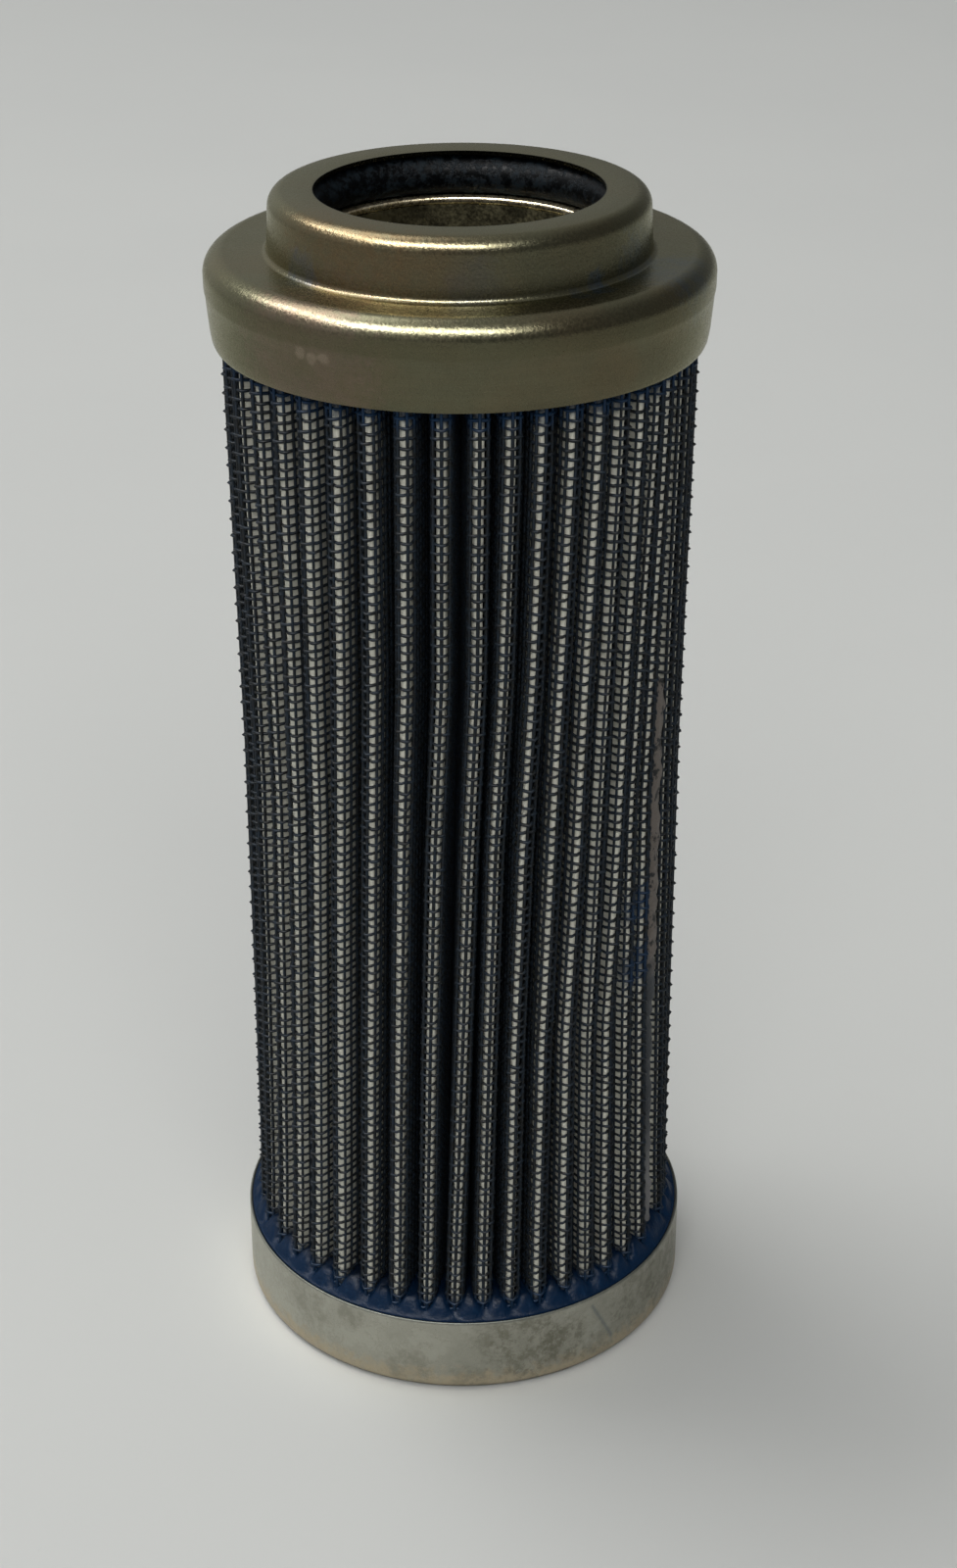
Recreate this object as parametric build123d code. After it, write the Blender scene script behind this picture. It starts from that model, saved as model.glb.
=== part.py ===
"""Pleated filter element: a folded pack of wire mesh and glass-fibre cloth on a perforated core tube,
glued between two pressed steel end caps, with a rubber ring in the collar of the open cap.

The frame's origin is the middle of the closed cap's underside, and +Z runs up the axis to the collar.
Angles round the axis are in radians, from the front (-Y) towards the right (+X).
"""

from build123d import *

import os
from math import cos, pi, radians, sin, tan

# Overall sizes in millimetres
overall_height = 132.0
core_bore = 28.7  # passes the housing's spigot
sheet = 0.8  # steel sheet of both end caps

# Closed lower cap, a plain pressed cup
lower_cap_height = 9.5
lower_cap_bevel = 0.9
lower_fill_gap = 0.9  # the glue stops this far under the cup's rim

# Open upper cap, a stepped pressing with a collar
upper_cap_height = 15.0
collar_height = 5.9
collar_opening_step = 0.25  # the collar's lip stands back this far from the core tube's bore
collar_round = 1.6
collar_foot_round = 0.7
shoulder_round = 2.2
shoulder_facets = 3  # short cone bands that stand for the rounded edge
collar_facets = 2
inner_corner = 1.0  # bevel inside the shoulder, where the sheet bends
skirt_taper_height = 1.5  # the skirt narrows over this height, down to its rim
skirt_rim_gap = 0.2  # between the skirt's rim and the wires

# Core tube with punched windows
core_wall = 0.7
core_plain_top = 10.0  # unpunched length under the seal
core_plain_end = 5.0  # unpunched length above the lower glue
window_width = 2.6
window_height = 18.0
window_rows = 4
window_columns = 6

# Seal in the collar and the flat ring that carries it
support_ring_thickness = 0.8
support_ring_gap = 0.1
seal_width = 4.25  # from its bore out to the collar's wall
seal_pinch = 0.15  # the relaxed seal stands in this far from the core tube's bore
seal_bulge = 1.0  # how far the middle of the seal stands in from its edges
seal_lift = 1.0  # the seal's underside above the shoulder

# Pleated pack
pleat_depth = 8.6  # from a valley's floor out to the wires on the crests
pack_in_cap_gap = 0.77  # between those wires and the upper cap's skirt
pack_on_core_gap = 0.03
mesh_thickness = 0.3
media_thickness = 0.25
backing_thickness = 0.2
fold_bend = 0.37  # half the width left inside a crest
fold_slope = radians(27.5)  # each half of a crest falls away at this angle
valley_half_gap = 0.1
fold_gap = 0.2  # between neighbouring folds at the core tube, where they stand closest
crowding = 0.15  # how much closer the folds stand at the crowded side, as a share
crowded_side = radians(50)
front_crest = radians(1.5)  # turn of the crest that faces the front

# Wires on the crests: a ridge on the fold and open lanes between the wires
wire_ridge_height = 0.12
wire_half_width = 0.16
lane_offset = 0.5
lane_width = 0.5
lane_reach = 1.0  # the lanes are cut from this far under the crest's corner
lane_end_margin = 2.4  # closed border at each end of the lanes

# Hidden rings, whose round walls stand as flats
ring_flats = 36
glue_on_core_gap = 0.02

# Glue and the seam between the two ends of the pack
upper_fill_depth = 3.8
seam_side = radians(64)
seam_top_drop = 34.0  # from the collar's top down to the end of the bead
seam_depth_share = 0.35
seam_bulge = 0.35

# Worked-out places
core_inside = core_bore / 2
core_radius = core_inside + core_wall
seal_inside = core_inside - seal_pinch
seal_outer = seal_inside + seal_width
collar_radius = seal_outer + sheet
opening_radius = core_inside + collar_opening_step
pack_thickness = mesh_thickness + media_thickness + backing_thickness
fold_half_width = pack_thickness + fold_bend
fold_pitch = (2 * pack_thickness + 2 * valley_half_gap + fold_gap) / (1 - crowding)
pleat_count = int(2 * pi * core_radius / fold_pitch)
valley_floor = core_radius + pack_on_core_gap + pack_thickness
wire_tip_radius = valley_floor + pleat_depth
crest_peak = wire_tip_radius - wire_ridge_height
crest_corner = crest_peak - fold_half_width * tan(fold_slope)
rim_inside = wire_tip_radius + skirt_rim_gap
cap_inside = wire_tip_radius + pack_in_cap_gap
cap_radius = cap_inside + sheet
shoulder_level = overall_height - collar_height
shoulder_underside = shoulder_level - sheet
rim_level = overall_height - upper_cap_height
lip_underside = overall_height - sheet
seal_bottom = shoulder_level + seal_lift
core_top = seal_bottom - support_ring_thickness
pack_bottom = lower_cap_height - lower_fill_gap
pack_top = shoulder_underside - upper_fill_depth
round_flats = 1 / cos(pi / ring_flats)  # a ring of flats clears a round tube if it is larger by this


def turned(outline):
    """A solid of revolution about Z from (radius, height) points."""
    section = make_face(Polyline(*[(radius, 0, height) for radius, height in outline], close=True))
    return revolve(section, axis=Axis.Z)


def ring_of_flats(outline):
    """A ring about Z from (radius, height) points, with its round walls as narrow flats."""
    turns = [2 * pi * k / ring_flats for k in range(ring_flats + 1)]
    rings = [[Vector(r * cos(a), r * sin(a), z) for r, z in outline] for a in turns]
    faces = []
    for near, far in zip(rings, rings[1:]):
        for k in range(len(outline)):
            faces.append(Face(Wire.make_polygon([near[k - 1], near[k], far[k], far[k - 1]])))
    return Solid(Shell(faces)).clean()


def quarter(centre, radius, facets):
    """Points of a rounded outer edge in section, from the wall round to the top."""
    angles = [pi / 2 * step / facets for step in range(facets + 1)]
    return [(centre[0] + radius * cos(a), centre[1] + radius * sin(a)) for a in angles]


def lower_end_cap():
    return turned([
        (0, 0),
        (cap_radius - lower_cap_bevel, 0),
        (cap_radius, lower_cap_bevel),
        (cap_radius, lower_cap_height),
        (cap_inside, lower_cap_height),
        (cap_inside, sheet),
        (0, sheet),
    ])


def upper_end_cap():
    shoulder_centre = (cap_radius - shoulder_round, shoulder_level - shoulder_round)
    collar_centre = (collar_radius - collar_round, overall_height - collar_round)
    outside = (
        [(rim_inside + sheet, rim_level), (cap_radius, rim_level + skirt_taper_height)]
        + quarter(shoulder_centre, shoulder_round, shoulder_facets)
        + [(collar_radius + collar_foot_round, shoulder_level)]
        + [(collar_radius, shoulder_level + collar_foot_round)]
        + quarter(collar_centre, collar_round, collar_facets)
    )
    inside = [
        (opening_radius, overall_height),
        (opening_radius, lip_underside),
        (seal_outer, lip_underside),
        (seal_outer, shoulder_underside),
        (cap_inside - inner_corner, shoulder_underside),
        (cap_inside, shoulder_underside - inner_corner),
        (cap_inside, rim_level + skirt_taper_height),
        (rim_inside, rim_level),
    ]
    return turned(outside + inside)


def seal_ring():
    """Rubber ring between the collar's lip and the support ring, bulging towards the spigot."""
    edge = seal_inside + seal_bulge
    return ring_of_flats([
        (edge, seal_bottom),
        (seal_outer, seal_bottom),
        (seal_outer, lip_underside),
        (edge, lip_underside),
        (seal_inside, (seal_bottom + lip_underside) / 2),
    ])


def seal_support_ring():
    """Flat ring that stands on the core tube's end and carries the seal."""
    outer = seal_outer - support_ring_gap
    inner = core_inside * round_flats
    return ring_of_flats([(inner, core_top), (outer, core_top), (outer, seal_bottom), (inner, seal_bottom)])


def core_tube():
    """Steel tube with rows of punched windows between its plain ends."""
    tube = turned([
        (core_inside, pack_bottom),
        (core_radius, pack_bottom),
        (core_radius, core_top),
        (core_inside, core_top),
    ])
    first = pack_bottom + core_plain_end
    pitch = (core_top - core_plain_top - first) / window_rows
    window = Pos(0, -core_radius, 0) * Box(window_width, core_radius, window_height)
    windows = [
        Pos(0, 0, first + pitch * (row + 0.5)) * Rot(0, 0, 360 / window_columns * column) * window
        for row in range(window_rows)
        for column in range(window_columns)
    ]
    return tube - windows


def lower_adhesive():
    disc = RegularPolygon(cap_inside, ring_flats)
    return extrude(Pos(0, 0, sheet) * disc, pack_bottom - sheet)


def upper_adhesive():
    inner = core_radius * round_flats + glue_on_core_gap
    return ring_of_flats([
        (inner, pack_top),
        (cap_inside, pack_top),
        (cap_inside, shoulder_underside - inner_corner),
        (cap_inside - inner_corner, shoulder_underside),
        (inner, shoulder_underside),
    ])


def crest_angle(index):
    """Direction of a fold's crest; the folds stand closer together at the crowded side."""
    even = front_crest + 2 * pi * index / pleat_count
    return even - crowding * (sin(even - crowded_side) - sin(front_crest - crowded_side))


def valley_angle(index):
    return (crest_angle(index) + crest_angle(index + 1)) / 2


def spot(angle, across, out):
    """A point in plan: so far out along a direction and so far across it."""
    return (out * sin(angle) + across * cos(angle), across * sin(angle) - out * cos(angle))


def fold_outline(crest, valley):
    """The pack's closed zigzag in plan, from the (across, out) points of one crest and one valley."""
    points = []
    for index in range(pleat_count):
        points += [spot(crest_angle(index), across, out) for across, out in crest]
        points += [spot(valley_angle(index), across, out) for across, out in valley]
    return points


def flat_valley(depth):
    half = valley_half_gap + depth
    return [(-half, valley_floor - depth), (half, valley_floor - depth)]


def outer_face():
    """Outside of the wire mesh: a roof-shaped crest with a wire's ridge along its top."""
    half = fold_half_width
    foot = crest_peak - wire_half_width * tan(fold_slope)
    crest = [(-half, crest_corner), (-wire_half_width, foot), (0, wire_tip_radius)]
    crest += [(wire_half_width, foot), (half, crest_corner)]
    return fold_outline(crest, [(0, valley_floor)])


def roofed_face(depth):
    half = fold_half_width - depth
    corner = crest_corner - depth * tan(fold_slope)
    peak = corner + half * tan(fold_slope)
    return fold_outline([(-half, corner), (0, peak), (half, corner)], flat_valley(depth))


def flat_face(depth):
    half = fold_half_width - depth
    level = crest_corner - depth
    return fold_outline([(-half, level), (half, level)], flat_valley(depth))


def upright(outline, bottom, top):
    section = make_face(Polyline(*[(x, y, bottom) for x, y in outline], close=True))
    return extrude(section, top - bottom, dir=(0, 0, 1))


def layer(outside, inside):
    return upright(outside, pack_bottom, pack_top) - upright(inside, pack_bottom, pack_top)


def outer_support_mesh():
    """Pleated wire mesh with two open lanes along every crest, between its wires."""
    lanes = []
    low = crest_corner - lane_reach
    for index in range(pleat_count):
        for side in (-1, 1):
            near = side * lane_offset - lane_width / 2
            far = near + lane_width
            lane = [(near, low), (far, low), (far, wire_tip_radius), (near, wire_tip_radius)]
            outline = [spot(crest_angle(index), across, out) for across, out in lane]
            lanes.append(upright(outline, pack_bottom + lane_end_margin, pack_top - lane_end_margin))
    return layer(outer_face(), roofed_face(mesh_thickness)) - lanes


def filter_media():
    return layer(roofed_face(mesh_thickness), flat_face(mesh_thickness + media_thickness))


def inner_support_mesh():
    return layer(flat_face(mesh_thickness + media_thickness), flat_face(pack_thickness))


def seam_adhesive():
    """Bead that closes the pack's two ends, in the valley nearest to the seam's side."""
    index = min(range(pleat_count), key=lambda i: abs(valley_angle(i) - seam_side))
    floor = spot(valley_angle(index), 0, valley_floor)
    left = spot(crest_angle(index), fold_half_width, crest_corner)
    right = spot(crest_angle(index + 1), -fold_half_width, crest_corner)
    deep_left, deep_right = (
        tuple(a + seam_depth_share * (b - a) for a, b in zip(corner, floor)) for corner in (left, right)
    )
    bulge = spot(valley_angle(index), 0, crest_peak + seam_bulge)
    return upright([left, deep_left, deep_right, right, bulge], pack_bottom, overall_height - seam_top_drop)


pieces = {
    "lower_end_cap": lower_end_cap(),
    "upper_end_cap": upper_end_cap(),
    "seal_ring": seal_ring(),
    "seal_support_ring": seal_support_ring(),
    "core_tube": core_tube(),
    "lower_adhesive": lower_adhesive(),
    "upper_adhesive": upper_adhesive(),
    "outer_support_mesh": outer_support_mesh(),
    "filter_media": filter_media(),
    "inner_support_mesh": inner_support_mesh(),
    "seam_adhesive": seam_adhesive(),
}

os.makedirs("parts", exist_ok=True)
for name, solid in pieces.items():
    export_step(solid, f"parts/{name}.step")
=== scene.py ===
"""Looks of a pleated filter element: folded wire mesh over cloth, two stamped caps, seal, glue and a studio.

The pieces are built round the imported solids, in their frame: the closed cap stands on the floor at the
origin, the collar points up and the side that faces the camera is -Y. Outlines are written in millimetres.
"""

from math import cos, pi, radians, sin

import bpy
import numpy as np
from bpy.props import FloatProperty, FloatVectorProperty, PointerProperty
from mathutils import Euler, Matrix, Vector


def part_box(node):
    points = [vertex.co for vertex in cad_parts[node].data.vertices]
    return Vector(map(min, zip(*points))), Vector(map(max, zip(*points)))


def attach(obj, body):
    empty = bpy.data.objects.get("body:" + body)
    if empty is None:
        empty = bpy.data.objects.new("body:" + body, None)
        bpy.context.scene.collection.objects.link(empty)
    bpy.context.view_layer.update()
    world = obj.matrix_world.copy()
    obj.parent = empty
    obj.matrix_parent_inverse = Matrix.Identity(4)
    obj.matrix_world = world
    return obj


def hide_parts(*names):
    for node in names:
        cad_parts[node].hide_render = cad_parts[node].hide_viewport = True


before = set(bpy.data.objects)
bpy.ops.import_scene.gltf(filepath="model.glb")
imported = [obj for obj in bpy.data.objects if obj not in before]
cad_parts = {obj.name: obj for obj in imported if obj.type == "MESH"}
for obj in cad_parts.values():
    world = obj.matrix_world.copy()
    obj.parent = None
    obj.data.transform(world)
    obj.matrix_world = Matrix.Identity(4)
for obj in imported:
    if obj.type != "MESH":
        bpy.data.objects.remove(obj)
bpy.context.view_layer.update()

bl_info = {
    "name": "Pleated filter element",
    "version": (1, 0, 0),
    "blender": (4, 5, 0),
    "location": "View3D > Sidebar > Filter element",
    "description": "Builds the visible pieces of a pleated filter element round its solid frame",
    "category": "Add Mesh",
}

MM = 0.001
CAP_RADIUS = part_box("upper_end_cap")[1].x / MM
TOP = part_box("upper_end_cap")[1].z / MM
SKIRT_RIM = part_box("upper_end_cap")[0].z / MM
CUP_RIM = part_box("lower_end_cap")[1].z / MM
PACK_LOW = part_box("outer_support_mesh")[0].z / MM
PACK_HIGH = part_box("outer_support_mesh")[1].z / MM
CORE_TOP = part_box("core_tube")[1].z / MM
CORE_BORE = 14.35  # radius

# Where the folds at the front stand, in degrees from the camera's side towards the right, at five heights
FOLD_COUNT = 42
FOLD_HEIGHTS = (12, 44, 68, 88, 112)
FRONT_FOLDS = (
    (-72.5, -69.5, -67.8, -67.2, -68.1),
    (-62.3, -59.4, -57.6, -57.2, -57.5),
    (-53.6, -51.2, -49.5, -48.6, -48.2),
    (-45.3, -43.2, -41.4, -40.6, -39.5),
    (-36.6, -35.1, -33.6, -32.0, -30.7),
    (-27.2, -25.7, -24.3, -22.8, -22.2),
    (-18.7, -17.2, -15.8, -14.0, -13.2),
    (-10.2, -8.7, -7.1, -5.0, -4.5),
    (-2.5, -0.1, 1.7, 3.8, 4.4),
    (5.1, 6.8, 8.3, 10.6, 11.9),
    (12.8, 14.1, 16.0, 18.2, 19.6),
    (20.6, 21.8, 24.0, 25.6, 27.3),
    (28.6, 28.9, 31.5, 32.8, 34.7),
    (36.2, 35.9, 37.9, 39.6, 41.4),
    (43.1, 42.5, 45.5, 46.6, 48.4),
    (51.5, 50.1, 50.3, 52.0, 55.0),
    (59.7, 57.3, 56.9, 58.2, 60.2),
    (74.0, 70.5, 69.3, 68.8, 68.8),
)
SEAM_FOLD = 16  # the seam lies in the valley after this fold
VALLEYS = np.full((FOLD_COUNT, 1), 99.0)  # lengths along the folds that end in the valleys

# How far the wires stand out or in from the tip radius along the pack, which is waisted in the middle
WAIST_HEIGHTS = (9.5, 14, 18, 29, 45, 60, 70, 84, 98, 111, 118)
WAIST = (0.42, 0.32, 0.20, 0.10, -0.05, -0.12, -0.20, -0.09, 0.05, 0.17, 0.22)

# Patches of dirt on the lower cap: bearing in degrees, height in mm, radius in metres, strength
DIRT = (
    (16, 5.6, 0.0058, 0.75), (27, 4.8, 0.0040, 0.70), (6, 7.6, 0.0030, 0.45), (-14, 2.6, 0.0034, 0.45),
    (52, 6.4, 0.0060, 0.60), (66, 5.0, 0.0060, 0.65), (-44, 6.5, 0.0040, 0.40), (-30, 7.8, 0.0022, 0.45),
    (1, 1.6, 0.0030, 0.40), (36, 1.8, 0.0030, 0.45), (110, 5.0, 0.0060, 0.50), (190, 4.0, 0.0070, 0.50),
    (-110, 5.5, 0.0060, 0.45),
)


class FilterPackSettings(bpy.types.PropertyGroup):
    """Sizes and colours of the folded pack."""

    tip_radius: FloatProperty(
        name="Tip radius", description="From the axis to the outermost wires", default=0.02445, unit="LENGTH"
    )
    valley_radius: FloatProperty(
        name="Valley radius", description="From the axis to the bottoms of the folds",
        default=0.0161, unit="LENGTH",
    )
    crest_radius: FloatProperty(
        name="Crest radius", description="Rounding of each fold's crest", default=0.00092, unit="LENGTH"
    )
    wire_diameter: FloatProperty(
        name="Wire diameter", description="Thickness of one wire", default=0.00037, unit="LENGTH"
    )
    wire_pitch: FloatProperty(
        name="Wire pitch", description="From one wire to the next", default=0.00098, unit="LENGTH"
    )
    crimp: FloatProperty(
        name="Crimp", description="How far a cross wire swings over and under the upright ones",
        default=0.00027, unit="LENGTH",
    )
    wire_colour: FloatVectorProperty(
        name="Wire", description="Colour of the dark wires", subtype="COLOR", default=(0.012, 0.013, 0.013)
    )
    cloth_colour: FloatVectorProperty(
        name="Cloth", description="Colour of the filter cloth", subtype="COLOR", default=(0.88, 0.87, 0.75)
    )


class FilterCapSettings(bpy.types.PropertyGroup):
    """Colours of the two stamped caps and of the core tube."""

    olive: FloatVectorProperty(
        name="Passivated", description="Colour of the upper cap", subtype="COLOR",
        default=(0.118, 0.114, 0.072),
    )
    brown: FloatVectorProperty(
        name="Brown tint", description="Tint in patches of the upper cap", subtype="COLOR",
        default=(0.134, 0.092, 0.050),
    )
    blue: FloatVectorProperty(
        name="Blue tint", description="Tint beside the collar's foot", subtype="COLOR",
        default=(0.065, 0.095, 0.135),
    )
    zinc: FloatVectorProperty(
        name="Zinc", description="Colour of the lower cap", subtype="COLOR", default=(0.325, 0.322, 0.268)
    )
    dirt: FloatVectorProperty(
        name="Dirt", description="Dark patches on the lower cap", subtype="COLOR", default=(0.13, 0.125, 0.09)
    )
    tan_stain: FloatVectorProperty(
        name="Tan stain", description="Band along the foot of the lower cap", subtype="COLOR",
        default=(0.36, 0.30, 0.20),
    )


class FilterGlueSettings(bpy.types.PropertyGroup):
    """Colours and heights of the potting glue and of the seam."""

    blue: FloatVectorProperty(
        name="Potting glue", description="Colour of the cured glue", subtype="COLOR",
        default=(0.0018, 0.015, 0.044),
    )
    pale_blue: FloatVectorProperty(
        name="Thin glue", description="Colour where the glue is smeared thin", subtype="COLOR",
        default=(0.006, 0.027, 0.068),
    )
    seam: FloatVectorProperty(
        name="Seam", description="Colour of the bead along the seam", subtype="COLOR",
        default=(0.105, 0.088, 0.075),
    )
    creep: FloatProperty(
        name="Creep", description="How far the glue creeps up between the folds",
        default=0.0024, unit="LENGTH",
    )


class FilterStageSettings(bpy.types.PropertyGroup):
    """Floor, lamps and camera."""

    floor_colour: FloatVectorProperty(
        name="Floor", description="Colour of the floor", subtype="COLOR", default=(0.60, 0.605, 0.58)
    )
    key_power: FloatProperty(
        name="Key lamp", description="Power of the large soft lamp", default=9.0, unit="POWER"
    )
    fill_power: FloatProperty(
        name="Fill lamp", description="Power of the front lamp", default=6.0, unit="POWER"
    )
    strip_power: FloatProperty(
        name="Strip lamp", description="Power of the narrow lamp that the metal mirrors",
        default=16.0, unit="POWER",
    )
    sky: FloatProperty(
        name="Room light", description="Strength of the light from the upper left", default=0.46
    )
    distance: FloatProperty(
        name="Camera distance", description="From the object's middle", default=0.284, unit="LENGTH"
    )
    pitch: FloatProperty(
        name="Camera pitch", description="How steeply the camera looks down", default=radians(27.54),
        subtype="ANGLE", unit="ROTATION",
    )
    roll: FloatProperty(
        name="Camera roll", description="Turn of the camera about its view", default=radians(-0.24),
        subtype="ANGLE", unit="ROTATION",
    )


# Modelling helpers


def clean_start():
    """Leaves nothing selected, so that the next operator works on its own object only."""
    bpy.ops.object.select_all(action="DESELECT")


def arc(centre, radius, start, end, steps):
    """(radius, height) points of a rounding, between two angles in degrees from straight out."""
    turns = np.radians(np.linspace(start, end, steps + 1))
    return [(centre[0] + radius * cos(t), centre[1] + radius * sin(t)) for t in turns]


def turned(name, outline, segments=160):
    """A ring of edges extruded along a closed outline of (radius, height) points round the axis."""
    clean_start()
    (radius, height), *rest = outline
    bpy.ops.mesh.primitive_circle_add(vertices=segments, radius=radius * MM, location=(0, 0, 0))
    piece = bpy.context.object
    piece.name = piece.data.name = name
    bpy.ops.object.mode_set(mode="EDIT")
    bpy.context.tool_settings.mesh_select_mode = (False, True, False)
    bpy.ops.mesh.select_all(action="SELECT")
    bpy.ops.transform.translate(value=(0, 0, height * MM))
    for wider, higher in rest:
        bpy.ops.mesh.extrude_edges_move(TRANSFORM_OT_translate={"value": (0, 0, (higher - height) * MM)})
        share = wider / radius
        bpy.ops.transform.resize(value=(share, share, 1), center_override=(0, 0, higher * MM))
        radius, height = wider, higher
    bpy.ops.mesh.select_all(action="DESELECT")
    bpy.ops.mesh.select_non_manifold(
        extend=False, use_wire=False, use_boundary=True, use_multi_face=False,
        use_non_contiguous=False, use_verts=False,
    )
    bpy.ops.mesh.bridge_edge_loops()
    finish_mesh()
    bpy.ops.object.mode_set(mode="OBJECT")
    bpy.ops.object.shade_smooth_by_angle(angle=radians(50))
    return piece


def finish_mesh():
    """Merges doubled points of the mesh in edit mode and turns its faces outward."""
    bpy.ops.mesh.select_all(action="SELECT")
    bpy.ops.mesh.remove_doubles(threshold=1e-6)
    bpy.ops.mesh.normals_make_consistent(inside=False)


def points_of(piece):
    """The points of a mesh in millimetres, one to a row."""
    flat = np.empty(len(piece.data.vertices) * 3)
    piece.data.vertices.foreach_get("co", flat)
    return flat.reshape(-1, 3) / MM


def move_points(piece, points):
    """Gives a mesh new points, in millimetres."""
    piece.data.vertices.foreach_set("co", (points * MM).ravel())
    piece.data.update()


def tubes(name, runs, radius, closed=False, resolution=0):
    """One mesh of round wires, from a bevelled curve with a line for each run of points."""
    curve = bpy.data.curves.new(name, "CURVE")
    curve.dimensions = "3D"
    curve.bevel_depth = radius * MM
    curve.bevel_resolution = resolution
    curve.use_fill_caps = not closed
    for run in runs:
        line = curve.splines.new("POLY")
        line.points.add(len(run) - 1)
        line.points.foreach_set("co", np.c_[run * MM, np.ones(len(run))].ravel())
        line.use_cyclic_u = closed
    piece = bpy.data.objects.new(name, curve)
    bpy.context.collection.objects.link(piece)
    clean_start()
    piece.select_set(True)
    bpy.context.view_layer.objects.active = piece
    bpy.ops.object.convert(target="MESH")
    return bpy.context.object


def hand_over(piece, finish, slot, *nodes):
    """Gives a finished piece its material and its body, and hides the solids that it stands for; the slot is
    not used.
    """
    piece.data.materials.clear()
    piece.data.materials.append(finish)
    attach(piece, "root")
    if nodes:
        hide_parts(*nodes)


# Folds


def fold_bearings(heights):
    """Bearing of each crest at each height in radians, as rows of heights by columns of folds."""
    front = np.array([np.interp(heights, FOLD_HEIGHTS, fold) for fold in FRONT_FOLDS]).T
    behind = FOLD_COUNT - len(FRONT_FOLDS)
    first, last = front[:, :1], front[:, -1:]
    back = last + (first + 360 - last) * np.arange(1, behind + 1) / (behind + 1)
    return np.radians(np.hstack([front, back]))


def wire_shifts():
    """How far the wire nearest to each crest stands beside it, in shares of the pitch."""
    shifts = np.random.default_rng(7).normal(0, 0.07, FOLD_COUNT)
    between_wires = [6, 13, *range(18, FOLD_COUNT, 5)]
    shifts[between_wires] += 0.5
    return shifts


def on_folds(heights, along, outward):
    """Points of the folded mesh, as an array of heights by folds by steps by three.

    along is the length from the crest over the fold, towards either side; past the flank it stays in
    the valley. outward is how far the point stands out from the middle of the mesh.
    """
    pack = bpy.context.scene.filter_pack
    crest = pack.crest_radius / MM
    out_most = (pack.tip_radius - pack.crimp - pack.wire_diameter / 2) / MM
    out_most = (out_most + np.interp(heights, WAIST_HEIGHTS, WAIST))[:, None, None]
    valley = pack.valley_radius / MM
    bearing = fold_bearings(heights)
    to_right = (np.roll(bearing, -1, axis=1) - bearing) % (2 * pi) / 2
    to_left = np.roll(to_right, 1, axis=1)
    side = np.sign(along)
    length = np.abs(along)
    half_turn = np.where(side > 0, to_right[..., None], to_left[..., None])
    across = valley * np.sin(half_turn) - crest
    down = valley * np.cos(half_turn) - (out_most - crest)
    flank = np.hypot(across, down)
    across, down = across / flank, down / flank
    quarter = crest * pi / 2
    turn = np.minimum(length, quarter) / crest
    slid = np.clip(length - quarter, 0, flank)
    on_flank = length > quarter
    stand = np.where(length - quarter > flank, 0, outward)
    beside = np.where(on_flank, crest + across * slid - down * stand, (crest + stand) * np.sin(turn))
    out = np.where(
        on_flank, out_most - crest + down * slid + across * stand,
        out_most - crest + (crest + stand) * np.cos(turn),
    )
    beside = beside * side
    sine, cosine = np.sin(bearing)[..., None], np.cos(bearing)[..., None]
    level = np.broadcast_to(np.asarray(heights, float)[:, None, None], beside.shape)
    return np.stack([out * sine + beside * cosine, beside * sine - out * cosine, level], -1)


# Materials


def add(tree, kind, inputs=None, **settings):
    """A node with its options set and each input fed from a socket or set to a value."""
    made = tree.nodes.new(kind)
    for name, value in settings.items():
        setattr(made, name, value)
    for name, value in (inputs or {}).items():
        if isinstance(value, bpy.types.NodeSocket):
            tree.links.new(value, made.inputs[name])
        else:
            made.inputs[name].default_value = value
    return made


def calc(tree, operation, *values):
    """The result of an operation on numbers."""
    return add(tree, "ShaderNodeMath", dict(enumerate(values)), operation=operation).outputs[0]


def inverse(tree, value):
    """A mask turned round: one less its value."""
    return calc(tree, "SUBTRACT", 1.0, value)


def vector_calc(tree, operation, *values):
    """The result of an operation on vectors, which is a number for a length, distance or dot product."""
    result = "Value" if operation in ("LENGTH", "DISTANCE", "DOT_PRODUCT") else "Vector"
    return add(tree, "ShaderNodeVectorMath", dict(enumerate(values)), operation=operation).outputs[result]


def step_between(tree, value, low, high):
    """0 below low and 1 above high, with a smooth step between them."""
    return add(
        tree, "ShaderNodeMapRange", {"Value": value, "From Min": low, "From Max": high},
        interpolation_type="SMOOTHSTEP",
    ).outputs["Result"]


def blend(tree, share, first, second):
    """Mixes two colours by a share."""
    node = tree.nodes.new("ShaderNodeMix")
    node.data_type = "RGBA"
    for socket, value in zip((node.inputs[0], node.inputs[6], node.inputs[7]), (share, first, second)):
        if isinstance(value, bpy.types.NodeSocket):
            tree.links.new(value, socket)
        elif isinstance(value, float):
            socket.default_value = value
        else:
            socket.default_value = (*value, 1)
    return node.outputs[2]


def tinted(tree, colour, share, strength, tone):
    """Lays a tone over a colour, by a mask and by how strongly it shows at most."""
    return blend(tree, calc(tree, "MULTIPLY", share, strength), colour, tone)


def effect(name, sockets, build):
    """A shared effect as a node group, from (label, kind, value) inputs to one mask."""
    tree = bpy.data.node_groups.new(name, "ShaderNodeTree")
    for label, kind, value in sockets:
        socket = tree.interface.new_socket(name=label, in_out="INPUT", socket_type="NodeSocket" + kind)
        if value is not None:
            socket.default_value = value
    tree.interface.new_socket(name="Mask", in_out="OUTPUT", socket_type="NodeSocketFloat")
    entry = tree.nodes.new("NodeGroupInput").outputs
    leave = tree.nodes.new("NodeGroupOutput")
    tree.links.new(build(tree, entry), leave.inputs["Mask"])
    return tree


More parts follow.
